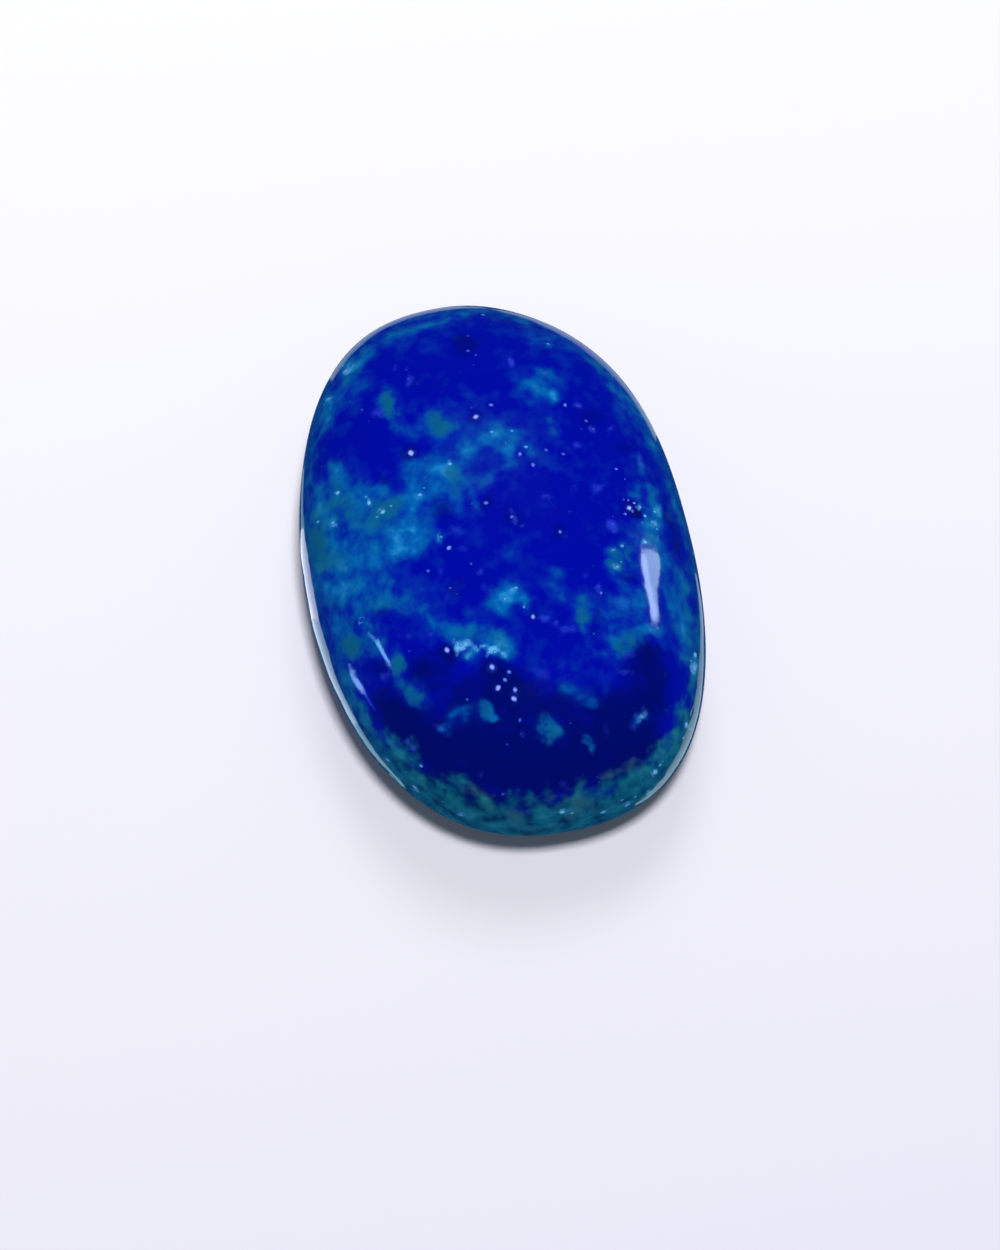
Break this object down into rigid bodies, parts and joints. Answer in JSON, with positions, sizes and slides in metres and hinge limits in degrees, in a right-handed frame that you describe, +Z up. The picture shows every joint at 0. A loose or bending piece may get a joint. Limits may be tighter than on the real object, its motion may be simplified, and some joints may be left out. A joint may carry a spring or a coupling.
{
  "type": "lapis lazuli pebble",
  "caption": "Polished oval pebble of deep blue stone with a low dome, steep rounded sides and a small flat spot it rests on; a loose decorative or collector's stone.",
  "frame": {"origin": "middle of the footprint, on the surface that the flat spot rests on", "axes": "+Z up through the dome, +Y along the long axis towards the narrower end, +X to the right seen from above"},
  "size_m": [0.019, 0.0276, 0.0101],
  "materials": {
    "polished_lapis": "gloss"
  },
  "bodies": {
    "root": {"stone": "polished_lapis"}
  },
  "joints": []
}
